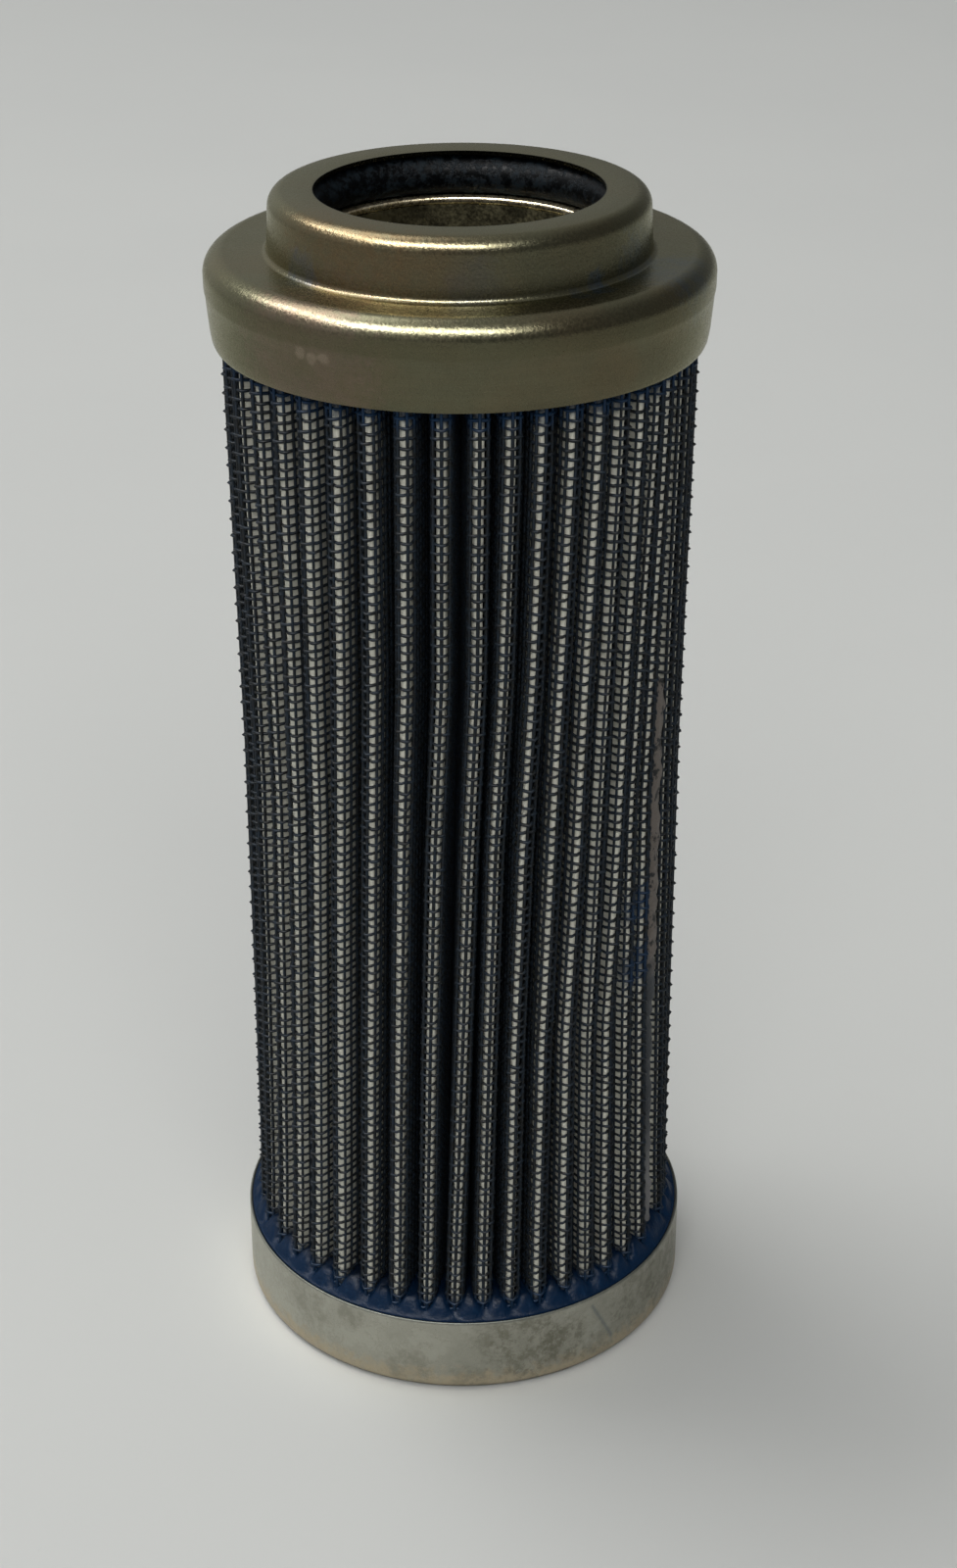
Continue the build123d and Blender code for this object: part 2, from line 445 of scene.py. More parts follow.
def wander(tree, entry, scale, amount):
    """Noise about zero, which makes an edge ragged."""
    noise = add(tree, "ShaderNodeTexNoise", {"Vector": entry["Vector"], "Scale": scale, "Detail": 3.0})
    return calc(tree, "MULTIPLY", calc(tree, "SUBTRACT", noise.outputs["Fac"], 0.5), amount)


def build_blotches(tree, entry):
    """Cloudy patches: noise between two thresholds."""
    noise = add(
        tree, "ShaderNodeTexNoise",
        {"Vector": entry["Vector"], "Scale": entry["Scale"], "Detail": 5.0, "Roughness": entry["Grain"]},
    )
    return step_between(tree, noise.outputs["Fac"], entry["Low"], entry["High"])


def build_reach(tree, entry):
    """Everything below a height, with a ragged edge that fades upwards."""
    height = add(tree, "ShaderNodeSeparateXYZ", {"Vector": entry["Vector"]}).outputs["Z"]
    ragged = calc(tree, "ADD", height, wander(tree, entry, 900.0, entry["Ragged"]))
    above = calc(tree, "SUBTRACT", ragged, entry["Height"])
    return inverse(tree, step_between(tree, above, 0.0, entry["Fade"]))


def build_spot(tree, entry):
    """A round patch with a full core and a ragged edge."""
    apart = vector_calc(tree, "DISTANCE", entry["Vector"], entry["Centre"])
    ragged = calc(tree, "ADD", apart, wander(tree, entry, 1400.0, entry["Radius"]))
    core = calc(tree, "MULTIPLY", entry["Radius"], 0.45)
    return inverse(tree, step_between(tree, ragged, core, entry["Radius"]))


def build_scratch(tree, entry):
    """A thin line between two points."""
    reach = vector_calc(tree, "SUBTRACT", entry["End"], entry["Start"])
    here = vector_calc(tree, "SUBTRACT", entry["Vector"], entry["Start"])
    dots = [vector_calc(tree, "DOT_PRODUCT", reach, other) for other in (here, reach)]
    share = add(tree, "ShaderNodeClamp", {"Value": calc(tree, "DIVIDE", *dots)}).outputs[0]
    foot = add(tree, "ShaderNodeVectorMath", {0: reach, "Scale": share}, operation="SCALE").outputs[0]
    apart = vector_calc(tree, "DISTANCE", here, foot)
    return inverse(tree, step_between(tree, apart, 0.0, entry["Width"]))


PLACE = ("Vector", "Vector", None)
EFFECTS = {
    "blotches": (build_blotches, (
        PLACE, ("Scale", "Float", 100.0), ("Grain", "Float", 0.6),
        ("Low", "Float", 0.35), ("High", "Float", 0.65),
    )),
    "reach": (build_reach, (
        PLACE, ("Height", "Float", 0.01), ("Fade", "Float", 0.001), ("Ragged", "Float", 0.002),
    )),
    "spot": (build_spot, (PLACE, ("Centre", "Vector", (0, 0, 0)), ("Radius", "Float", 0.002))),
    "scratch": (build_scratch, (
        PLACE, ("Start", "Vector", (0, 0, 0)), ("End", "Vector", (0, 0, 0.01)), ("Width", "Float", 0.0003),
    )),
}


def mask(tree, kind, place, **values):
    """Places a shared effect in a material, with the material's own values."""
    group = bpy.data.node_groups.get(kind)
    if group is None:
        build, sockets = EFFECTS[kind]
        group = effect(kind, sockets, build)
    node = tree.nodes.new("ShaderNodeGroup")
    node.node_tree = group
    tree.links.new(place, node.inputs["Vector"])
    for name, value in values.items():
        node.inputs[name].default_value = value
    return node.outputs["Mask"]


def material(name, **shader):
    """A material with its shader's plain values set; gives the material, its tree, place and shader."""
    made = bpy.data.materials.new(name)
    made.use_nodes = True
    tree = made.node_tree
    surface = tree.nodes["Principled BSDF"]
    for label, value in shader.items():
        surface.inputs[label.replace("_", " ")].default_value = value
    place = tree.nodes.new("ShaderNodeTexCoord").outputs["Object"]
    return made, tree, place, surface


def feed(tree, surface, colour, roughness=None, height=None, depth=0.0001, strength=0.3):
    """Links a colour and, where given, a roughness and a bump height into a shader."""
    tree.links.new(colour, surface.inputs["Base Color"])
    if roughness is not None:
        tree.links.new(roughness, surface.inputs["Roughness"])
    if height is not None:
        bump = add(tree, "ShaderNodeBump", {"Height": height, "Distance": depth, "Strength": strength})
        tree.links.new(bump.outputs["Normal"], surface.inputs["Normal"])


def from_axis(tree, place):
    """Distance from the object's upright axis."""
    return vector_calc(tree, "LENGTH", vector_calc(tree, "MULTIPLY", place, (1, 1, 0)))


def on_cap(bearing, radius, height):
    """A place in metres from a bearing in degrees and a radius and height in mm."""
    turn = radians(bearing)
    return (radius * sin(turn) * MM, -radius * cos(turn) * MM, height * MM)


def passivated_steel():
    """Satin olive plating with brown and blue tints, drawing marks, fine speckle and a few pale scuffs, plus
    painted shade on the lip's inner edge and a painted dark reflection below the shoulder.
    """
    caps = bpy.context.scene.filter_caps
    made, tree, place, surface = material(
        "passivated_steel", Metallic=1.0, Specular_Tint=(1.0, 0.99, 0.86, 1)
    )
    tint = mask(tree, "blotches", place, Scale=60.0, Low=0.42, High=0.70)
    colour = tinted(tree, caps.olive, tint, 0.45, caps.brown)
    cloud = mask(tree, "blotches", place, Scale=230.0, Grain=0.7, Low=0.30, High=0.75)
    colour = tinted(tree, colour, cloud, 0.45, (0.085, 0.082, 0.052))
    skirt = 25.8
    # Flushes of colour: bearing, radius and height, then size in metres, strength and tone
    flushes = (
        (-38, 19.3, 129.2, 0.0075, 0.75, caps.brown),
        (-12, 19.3, 129.4, 0.0045, 0.5, caps.brown),
        (-36, skirt, 121.0, 0.0085, 0.55, (0.165, 0.120, 0.095)),
        (4, 19.5, 127.6, 0.0030, 0.4, (0.085, 0.088, 0.088)),
        (42, 20.3, 126.4, 0.0015, 0.8, caps.blue),
        (34, 20.6, 126.1, 0.0011, 0.6, caps.blue),
        (66, 22.5, 126.1, 0.0055, 0.55, caps.blue),
        (-52, 19.6, 126.7, 0.0024, 0.5, caps.blue),
    )
    broken = mask(tree, "blotches", place, Scale=420.0, Grain=0.75, Low=0.35, High=0.62)
    for bearing, radius, height, size, strength, tone in flushes:
        spot = mask(tree, "spot", place, Centre=on_cap(bearing, radius, height), Radius=size * 1.25)
        uneven = calc(tree, "MULTIPLY", spot, calc(tree, "MULTIPLY_ADD", broken, 0.6, 0.4))
        colour = tinted(tree, colour, uneven, strength, tone)
    for bearing, height in ((-36, 121.7), (-33, 121.3), (-30, 121.5)):
        scuff = mask(tree, "spot", place, Centre=on_cap(bearing, skirt, height), Radius=0.0008)
        colour = tinted(tree, colour, scuff, 0.35, (0.32, 0.26, 0.20))
    # Painted shade: the lip's inner edge is coloured almost black, where it lies in shade.
    lip = inverse(tree, step_between(tree, from_axis(tree, place), 0.01466, 0.01482))
    colour = blend(tree, lip, colour, (0.012, 0.012, 0.009))
    # Painted reflection: a darker band round the skirt below the shoulder stands in for the dark room that
    # the metal mirrors there.
    under = mask(tree, "reach", place, Height=0.1236, Fade=0.0012, Ragged=0.0006)
    over = mask(tree, "reach", place, Height=0.1222, Fade=0.0004, Ragged=0.0003)
    colour = tinted(tree, colour, calc(tree, "SUBTRACT", under, over), 0.45, (0.085, 0.080, 0.045))
    drawn = add(tree, "ShaderNodeMapping", {"Vector": place, "Scale": (0.03, 0.03, 1.0)}).outputs[0]
    marks = mask(tree, "blotches", drawn, Scale=2600.0)
    colour = tinted(tree, colour, marks, 0.14, (0.07, 0.066, 0.04))
    speckle = mask(tree, "blotches", place, Scale=3200.0)
    rough = calc(tree, "MULTIPLY_ADD", speckle, 0.08, calc(tree, "MULTIPLY_ADD", cloud, 0.05, 0.20))
    height = calc(tree, "MULTIPLY_ADD", marks, 0.4, speckle)
    feed(tree, surface, colour, rough, height, depth=0.00002, strength=0.4)
    return made


def dull_zinc():
    """Dull plating with cloudy patches, dirt, a tan band at the foot, a diagonal scratch and painted shade
    along the rim.
    """
    caps = bpy.context.scene.filter_caps
    made, tree, place, surface = material("dull_zinc", Metallic=0.55)
    cloud = mask(tree, "blotches", place, Scale=130.0, Grain=0.7, Low=0.35, High=0.70)
    colour = tinted(tree, caps.zinc, cloud, 0.65, (0.205, 0.205, 0.165))
    band = mask(tree, "reach", place, Height=0.0011, Fade=0.0022, Ragged=0.0045)
    colour = tinted(tree, colour, band, 0.75, caps.tan_stain)
    broken = mask(tree, "blotches", place, Scale=650.0, Grain=0.75, Low=0.42, High=0.58)
    veins = mask(tree, "blotches", place, Scale=260.0, Grain=0.8, Low=0.485, High=0.515)
    vein = calc(tree, "MULTIPLY", calc(tree, "MULTIPLY", veins, inverse(tree, veins)), 4.0)
    colour = tinted(tree, colour, vein, 0.30, caps.dirt)
    for bearing, height, size, strength in DIRT:
        spot = mask(tree, "spot", place, Centre=on_cap(bearing, CAP_RADIUS, height), Radius=size)
        grimy = calc(tree, "MULTIPLY", spot, calc(tree, "MULTIPLY_ADD", broken, 0.75, 0.25))
        colour = tinted(tree, colour, grimy, strength, caps.dirt)
    ends = {"Start": on_cap(34.5, CAP_RADIUS, 8.2), "End": on_cap(41, CAP_RADIUS, 2.6)}
    line = mask(tree, "scratch", place, Width=0.0004, **ends)
    colour = tinted(tree, colour, line, 0.55, (0.10, 0.12, 0.13))
    # Painted shade: the top of the rim is coloured darker, which dims the lamp's reflection along it.
    rim = inverse(tree, mask(tree, "reach", place, Height=0.0091, Fade=0.0004, Ragged=0.0002))
    colour = tinted(tree, colour, rim, 0.90, (0.09, 0.095, 0.08))
    foot = mask(tree, "reach", place, Height=0.00015, Fade=0.0006, Ragged=0.0004)
    colour = tinted(tree, colour, foot, 0.85, (0.05, 0.045, 0.03))
    speckle = mask(tree, "blotches", place, Scale=2500.0)
    rough = calc(tree, "MULTIPLY_ADD", speckle, 0.10, calc(tree, "MULTIPLY_ADD", cloud, 0.12, 0.44))
    height = calc(tree, "MULTIPLY_ADD", cloud, 0.5, speckle)
    feed(tree, surface, colour, rough, height, depth=0.00003, strength=0.4)
    return made


def mottled_steel(name, pale, dark, roughness):
    """Plating inside the bore, with cloudy stains."""
    made, tree, place, surface = material(name, Metallic=1.0)
    cloud = mask(tree, "blotches", place, Scale=420.0, Grain=0.75)
    speckle = mask(tree, "blotches", place, Scale=2600.0)
    rough = calc(tree, "MULTIPLY_ADD", speckle, 0.12, roughness)
    feed(tree, surface, blend(tree, cloud, pale, dark), rough, speckle, depth=0.00002, strength=0.4)
    return made


def seal_rubber():
    """Black rubber with paler worn patches."""
    made, tree, place, surface = material("seal_rubber", Specular_IOR_Level=0.06)
    wear = mask(tree, "blotches", place, Scale=900.0, Grain=0.8, Low=0.45, High=0.62)
    colour = blend(tree, wear, (0.0015, 0.002, 0.0025), (0.010, 0.016, 0.021))
    rough = calc(tree, "MULTIPLY_ADD", wear, 0.20, 0.36)
    feed(tree, surface, colour, rough, wear, depth=0.00006, strength=0.6)
    return made


def stained(tree, place, colour, strength):
    """Tints a colour with blue glue at the ends of the folds and in two smears beside the seam."""
    glue = bpy.context.scene.filter_glue
    low = mask(tree, "reach", place, Height=0.0106, Fade=0.0018, Ragged=0.0030)
    high = inverse(tree, mask(tree, "reach", place, Height=0.1142, Fade=0.0020, Ragged=0.0030))
    smears = [
        mask(tree, "spot", place, Centre=on_cap(54, 23.6, height), Radius=size)
        for height, size in ((57.0, 0.0030), (49.5, 0.0034))
    ]
    wet = calc(tree, "MAXIMUM", low, calc(tree, "MULTIPLY", high, 0.95))
    wet = calc(tree, "MAXIMUM", wet, calc(tree, "MULTIPLY", calc(tree, "MAXIMUM", *smears), 0.8))
    return tinted(tree, colour, wet, strength, glue.pale_blue)


def dark_wire():
    """Dark, faintly blue wire, stained by the glue at its ends."""
    pack = bpy.context.scene.filter_pack
    made, tree, place, surface = material("dark_wire", Metallic=0.12, Specular_IOR_Level=0.15)
    grain = mask(tree, "blotches", place, Scale=1500.0)
    colour = blend(tree, grain, pack.wire_colour, (0.012, 0.020, 0.030))
    colour = stained(tree, place, colour, 0.75)
    rough = calc(tree, "MULTIPLY_ADD", grain, 0.15, 0.42)
    feed(tree, surface, colour, rough, grain, depth=0.00001, strength=0.3)
    return made


def filter_cloth():
    """Pale cloth with cloudy soiling and glue stains, darkened by painted shade towards the valleys between
    the folds.
    """
    pack = bpy.context.scene.filter_pack
    made, tree, place, surface = material("filter_cloth", Roughness=0.9, Specular_IOR_Level=0.15)
    cloud = mask(tree, "blotches", place, Scale=160.0, Low=0.30, High=0.72)
    colour = tinted(tree, pack.cloth_colour, cloud, 0.35, (0.50, 0.48, 0.40))
    weave = mask(tree, "blotches", place, Scale=5200.0)
    colour = tinted(tree, colour, weave, 0.12, (0.40, 0.39, 0.33))
    colour = stained(tree, place, colour, 0.92)
    # Painted shade: the cloth is darkened towards the valleys, where the folds shade it.
    painted_valley_shade = inverse(tree, step_between(tree, from_axis(tree, place), 0.0200, 0.0226))
    colour = tinted(tree, colour, painted_valley_shade, 0.93, (0.010, 0.012, 0.016))
    feed(tree, surface, colour, height=weave, depth=0.00004, strength=0.6)
    return made


def backing_wire():
    """Grey mesh behind the cloth, with its holes drawn as painted shade by a pattern."""
    made, tree, place, surface = material("backing_wire", Metallic=0.8)
    grid = add(tree, "ShaderNodeTexVoronoi", {"Vector": place, "Scale": 1100.0})
    # Painted shade: the darker parts of the pattern stand in for the holes.
    shade = step_between(tree, grid.outputs["Distance"], 0.2, 0.7)
    colour = blend(tree, shade, (0.42, 0.42, 0.39), (0.16, 0.16, 0.15))
    rough = calc(tree, "MULTIPLY_ADD", shade, 0.2, 0.4)
    feed(tree, surface, colour, rough, shade, depth=0.00008, strength=0.6)
    return made


def blue_glue():
    """Dark blue glue, streaked where it is thin, and made almost black by painted shade where it creeps up.
    """
    glue = bpy.context.scene.filter_glue
    made, tree, place, surface = material("blue_glue", Specular_IOR_Level=0.08)
    streak = add(tree, "ShaderNodeMapping", {"Vector": place, "Scale": (1.0, 1.0, 0.12)}).outputs[0]
    thin = mask(tree, "blotches", streak, Scale=1500.0, Grain=0.7, Low=0.54, High=0.78)
    colour = blend(tree, thin, glue.blue, glue.pale_blue)
    # Painted shade: above about 10.6 mm the glue turns almost black, standing in for the shade between the
    # folds.
    upper = inverse(tree, mask(tree, "reach", place, Height=0.0106, Fade=0.0022, Ragged=0.0012))
    colour = blend(tree, upper, colour, (0.0008, 0.003, 0.008))
    lumps = mask(tree, "blotches", place, Scale=700.0, Low=0.2, High=0.8)
    rough = calc(tree, "MULTIPLY_ADD", lumps, 0.2, 0.34)
    feed(tree, surface, colour, rough, lumps, depth=0.0002, strength=0.5)
    return made


def seam_glue():
    """Grey-brown bead with black pits, a dark smooth run below and a pale lower end."""
    glue = bpy.context.scene.filter_glue
    made, tree, place, surface = material("seam_glue", Specular_IOR_Level=0.3)
    pits = mask(tree, "blotches", place, Scale=620.0, Grain=0.7, Low=0.54, High=0.60)
    cloud = mask(tree, "blotches", place, Scale=1200.0, Low=0.3, High=0.7)
    colour = tinted(tree, glue.seam, cloud, 0.5, (0.16, 0.145, 0.13))
    colour = blend(tree, pits, colour, (0.008, 0.009, 0.010))
    below = mask(tree, "reach", place, Height=0.0455, Fade=0.0040, Ragged=0.0060)
    colour = blend(tree, below, colour, (0.035, 0.040, 0.045))
    end = mask(tree, "reach", place, Height=0.0160, Fade=0.0120, Ragged=0.0020)
    colour = tinted(tree, colour, end, 0.8, (0.17, 0.17, 0.17))
    rough = calc(tree, "MULTIPLY_ADD", cloud, 0.2, 0.5)
    feed(tree, surface, colour, rough, cloud, depth=0.00015, strength=0.5)
    return made


def floor_paper():
    """Pale matt floor with faint clouds and dust."""
    stage = bpy.context.scene.filter_stage
    made, tree, place, surface = material("floor_paper", Roughness=0.85, Specular_IOR_Level=0.2)
    cloud = mask(tree, "blotches", place, Scale=9.0, Grain=0.5, Low=0.3, High=0.7)
    dust = mask(tree, "blotches", place, Scale=900.0, Low=0.70, High=0.78)
    colour = tinted(tree, stage.floor_colour, cloud, 0.25, (0.56, 0.565, 0.545))
    colour = tinted(tree, colour, dust, 0.25, (0.45, 0.45, 0.43))
    feed(tree, surface, colour)
    return made


# Pieces


class FILTER_OT_upper_cap(bpy.types.Operator):
    """Builds the stamped upper cap with its collar, turned-in lip and rolled skirt."""

    bl_idname = "filter.upper_cap"
    bl_label = "Upper cap"

    def execute(self, context):
        collar, lip, sheet = 19.25, 14.65, 0.5
        shoulder = TOP - 5.9
        shoulder_bend, collar_bend = 2.2, 1.6
        shoulder_centre = (CAP_RADIUS - 2.25, shoulder - shoulder_bend)
        collar_centre = (collar - collar_bend, TOP - 1.62)
        # Radii of the skirt's outside and inside, each with its height above the rim
        outside = (
            (24.80, 0.10), (25.00, 0.0), (25.20, 0.06), (25.34, 0.4), (25.50, 1.4), (25.68, 3.4),
            (25.82, 5.1), (25.90, 5.3), (25.93, 5.6),
        )
        inside = ((25.38, 5.0), (25.05, 2.0))
        outline = (
            [(radius, SKIRT_RIM + above) for radius, above in outside]
            + arc(shoulder_centre, shoulder_bend, 4, 88, 11)
            + arc((collar + 0.78, shoulder + 0.32), 0.58, 268, 180, 7)
            + arc(collar_centre, collar_bend, 0, 87, 9)
            + [(15.7, TOP - 0.04), (lip, TOP - 0.08)]
            + [(lip, TOP - 0.52), (15.5, TOP - 0.60), (17.2, TOP - 0.54)]
            + arc(collar_centre, collar_bend - sheet, 80, 0, 5)
            + [(collar - sheet, shoulder + 0.4), (collar - 0.3, shoulder - sheet)]
            + arc(shoulder_centre, shoulder_bend - sheet, 85, 5, 6)
            + [(radius, SKIRT_RIM + above) for radius, above in inside]
        )
        piece = turned("stamped_upper_cap", outline, 192)
        hand_over(piece, passivated_steel(), "upper_cap_steel", "upper_end_cap")
        return {"FINISHED"}


class FILTER_OT_lower_cap(bpy.types.Operator):
    """Builds the plain closed cup at the foot."""

    bl_idname = "filter.lower_cap"
    bl_label = "Lower cap"

    def execute(self, context):
        wall, sheet, foot_bend, rim_bend = CAP_RADIUS, 0.5, 1.0, 0.12
        outline = (
            [(0.01, 0.0), (10.0, 0.0), (20.0, 0.0)]
            + arc((wall - foot_bend, foot_bend), foot_bend, -90, 0, 6)
            + [(wall, 4.0), (wall - 0.03, CUP_RIM - 0.5)]
            + arc((wall - 0.16, CUP_RIM - rim_bend), rim_bend, 10, 170, 5)
            + [(wall - sheet, CUP_RIM - 0.6), (wall - sheet, 2.0), (wall - 1.2, sheet), (0.01, sheet)]
        )
        piece = turned("stamped_lower_cap", outline, 192)
        hand_over(piece, dull_zinc(), "lower_cap_steel", "lower_end_cap")
        return {"FINISHED"}


class FILTER_OT_seal(bpy.types.Operator):
    """Builds the round rubber ring and the flat ring under it, and dresses the core tube."""

    bl_idname = "filter.seal"
    bl_label = "Seal and core"

    def execute(self, context):
        seal_bore, carrier_radius = 14.2, 18.5
        low = CORE_TOP + 0.8
        half = (TOP - 0.7 - low) / 2
        ring = turned("round_seal", arc((seal_bore + half, low + half), half, 0, 345, 23))
        hand_over(ring, seal_rubber(), "seal_rubber", "seal_ring")
        outline = [
            (CORE_BORE + 0.02, CORE_TOP + 0.25), (CORE_BORE + 0.25, CORE_TOP), (carrier_radius, CORE_TOP),
            (carrier_radius, low), (CORE_BORE + 0.3, low),
            *arc((CORE_BORE + 0.27, low - 0.25), 0.25, 90, 180, 4),
        ]
        carrier = turned("bright_support_ring", outline)
        bright = mottled_steel("bright_edge_steel", (0.85, 0.76, 0.55), (0.60, 0.50, 0.32), 0.25)
        hand_over(carrier, bright, "support_ring_steel", "seal_support_ring")
        core = mottled_steel("core_steel", (0.16, 0.145, 0.085), (0.06, 0.054, 0.033), 0.36)
        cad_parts["core_tube"].data.materials[0] = core
        return {"FINISHED"}


class FILTER_OT_cloth(bpy.types.Operator):
    """Builds the folded filter cloth and the backing mesh behind it, each from a grid."""

    bl_idname = "filter.cloth"
    bl_label = "Filter cloth"

    def execute(self, context):
        pack = context.scene.filter_pack
        under_wires = (pack.crimp + pack.wire_diameter * 0.42) / MM
        quarter = pack.crest_radius / MM * pi / 2
        bends = [0.33 * quarter, 0.66 * quarter, quarter, quarter + 0.6, quarter + 2.5, quarter + 5.8]
        piece = self.folded("folded_cloth", 46, bends, under_wires, 0.7)
        hand_over(piece, filter_cloth(), "media_cloth", "filter_media")
        piece = self.folded("folded_backing", 24, bends[1::2], under_wires + 0.30, 0.95)
        hand_over(piece, backing_wire(), "backing_wire", "inner_support_mesh")
        return {"FINISHED"}

    def folded(self, name, rows, bends, depth, valley_depth):
        """A sheet that follows the folds, by a depth inside the middle of the wires."""
        along = np.concatenate([-np.array(bends)[::-1], [0], bends])
        heights = np.linspace(PACK_LOW + 0.2, PACK_HIGH - 0.2, rows)
        folds = on_folds(heights, np.tile(along, (FOLD_COUNT, 1)), -depth)
        valley = on_folds(heights, VALLEYS, 0.0)
        valley[..., :2] *= 1 - valley_depth / np.hypot(valley[..., 0], valley[..., 1])[..., None]
        ring = np.concatenate([folds, valley], axis=2).reshape(rows, -1, 3)
        ring = np.concatenate([ring, ring[:, :1]], axis=1)
        columns = ring.shape[1]
        clean_start()
        bpy.ops.mesh.primitive_grid_add(x_subdivisions=columns - 1, y_subdivisions=rows - 1, size=1)
        piece = bpy.context.object
        piece.name = piece.data.name = name
        spots = points_of(piece) * MM + 0.5
        column = np.rint(spots[:, 0] * (columns - 1)).astype(int)
        row = np.rint(spots[:, 1] * (rows - 1)).astype(int)
        move_points(piece, ring[row, column])
        bpy.ops.object.mode_set(mode="EDIT")
        finish_mesh()
        bpy.ops.object.mode_set(mode="OBJECT")
        skin = piece.modifiers.new("thickness", "SOLIDIFY")
        skin.thickness = 0.00012
        bpy.ops.object.modifier_apply(modifier=skin.name)
        bpy.ops.object.shade_smooth()
        return piece


class FILTER_OT_wires(bpy.types.Operator):
    """Weaves the outer mesh: upright wires along the folds and cross wires over and under them."""

    bl_idname = "filter.wires"
    bl_label = "Woven wires"

    def execute(self, context):
        pack = context.scene.filter_pack
        pitch, radius, crimp = pack.wire_pitch / MM, pack.wire_diameter / MM / 2, pack.crimp / MM
        shifts = wire_shifts()[:, None]
        finish = dark_wire()
        # Upright wires, counted to either side of the crest; the hidden ones need fewer points
        crest_steps = np.arange(-3, 4)
        flank_steps = np.array([-7, -6, -5, -4, 4, 5, 6, 7])
        for name, steps, rows in (("crest", crest_steps, 42), ("flank", flank_steps, 14)):
            heights = np.linspace(PACK_LOW + 0.1, PACK_HIGH - 0.1, rows)
            spots = on_folds(heights, (steps + shifts) * pitch, 0.0)
            runs = spots.transpose(1, 2, 0, 3).reshape(-1, rows, 3)
            piece = tubes(f"upright_wires_{name}", runs, radius)
            hand_over(piece, finish, "dark_wire", "outer_support_mesh")
        # Cross wires swing over one upright wire and under the next, less so away from the crest
        steps = np.array([-3, -2, -1.5, -1, -0.5, 0, 0.5, 1, 1.5, 2, 3])
        along = np.hstack([(steps + shifts) * pitch, VALLEYS])
        on_wire = steps == np.rint(steps)
        depth = np.interp(np.abs(steps), (0, 1, 2), (1, 0.55, 0))
        swing = np.append(np.where(on_wire, crimp * depth * np.where(steps % 2 == 0, 1, -1), 0), 0)
        heights = np.arange(PACK_LOW + 0.6, PACK_HIGH - 0.6, pitch)
        sign = np.where(np.arange(len(heights)) % 2 == 0, 1, -1)[:, None, None]
        spots = on_folds(heights, along, swing * sign)
        drift = np.random.default_rng(11)
        spots[..., 2] += drift.normal(0, 0.05, (len(heights), FOLD_COUNT, 1))
        rings = spots.reshape(len(heights), -1, 3)
        for index, band in enumerate(np.array_split(rings, 4)):
            piece = tubes(f"cross_wires_{index + 1}", band, radius, closed=True)
            hand_over(piece, finish, "dark_wire", "outer_support_mesh")
        return {"FINISHED"}


class FILTER_OT_glue(bpy.types.Operator):
    """Builds the blue glue that creeps up the folds in the cup, and dresses both glue beds."""

    bl_idname = "filter.glue"
    bl_label = "Potting glue"

    def execute(self, context):
        creep = context.scene.filter_glue.creep / MM
        low, level = CUP_RIM - 1.2, CUP_RIM - 0.03
        edge, inner = 25.62, 16.8
        radii = np.array(
            [edge, 25.5, 25.4, 25.25, 25.1, 24.9, 24.7, 24.5, 24.2, 23.8, 23.2, 22.4, 21, 19, inner]
        )
        rise = np.interp(
            -radii, (-25.5, -25.25, -25.0, -24.7, -24.2, -23.0, -21), (0, 0.12, 0.36, 0.60, 0.85, 0.97, 1)
        )
        outline = [(inner, low), (edge, low)] + [(r, level + creep * k) for r, k in zip(radii, rise)]
        piece = turned("glue_in_folds", outline, FOLD_COUNT * 12)
        spots = points_of(piece)
        radius = np.hypot(spots[:, 0], spots[:, 1])
        bearing = np.arctan2(spots[:, 0], -spots[:, 1])
        crests = fold_bearings([11.0])[0]
        # From a crest to the point, in halves of a fold: the glue stands highest in the valleys
        apart = np.abs((bearing[:, None] - crests + pi) % (2 * pi) - pi).min(1) / (pi / FOLD_COUNT)
        lumps = (
            0.08 * np.sin(bearing * 13 + 1) + 0.07 * np.sin(bearing * 31)
            + 0.06 * np.sin(bearing * 57 + radius * 3)
        )
        share = 0.34 + 0.66 * np.sin(np.clip(apart * 1.5 - 0.1, 0, 1) * pi / 2) ** 2 + lumps
        top = spots[:, 2] > level + 0.01
        spots[top, 2] = level + (spots[top, 2] - level) * share[top] + 0.2 * np.maximum(lumps[top], 0)
        move_points(piece, spots)
        finish = blue_glue()
        hand_over(piece, finish, "potting_adhesive")
        for node in ("lower_adhesive", "upper_adhesive"):
            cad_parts[node].data.materials[0] = finish
        return {"FINISHED"}


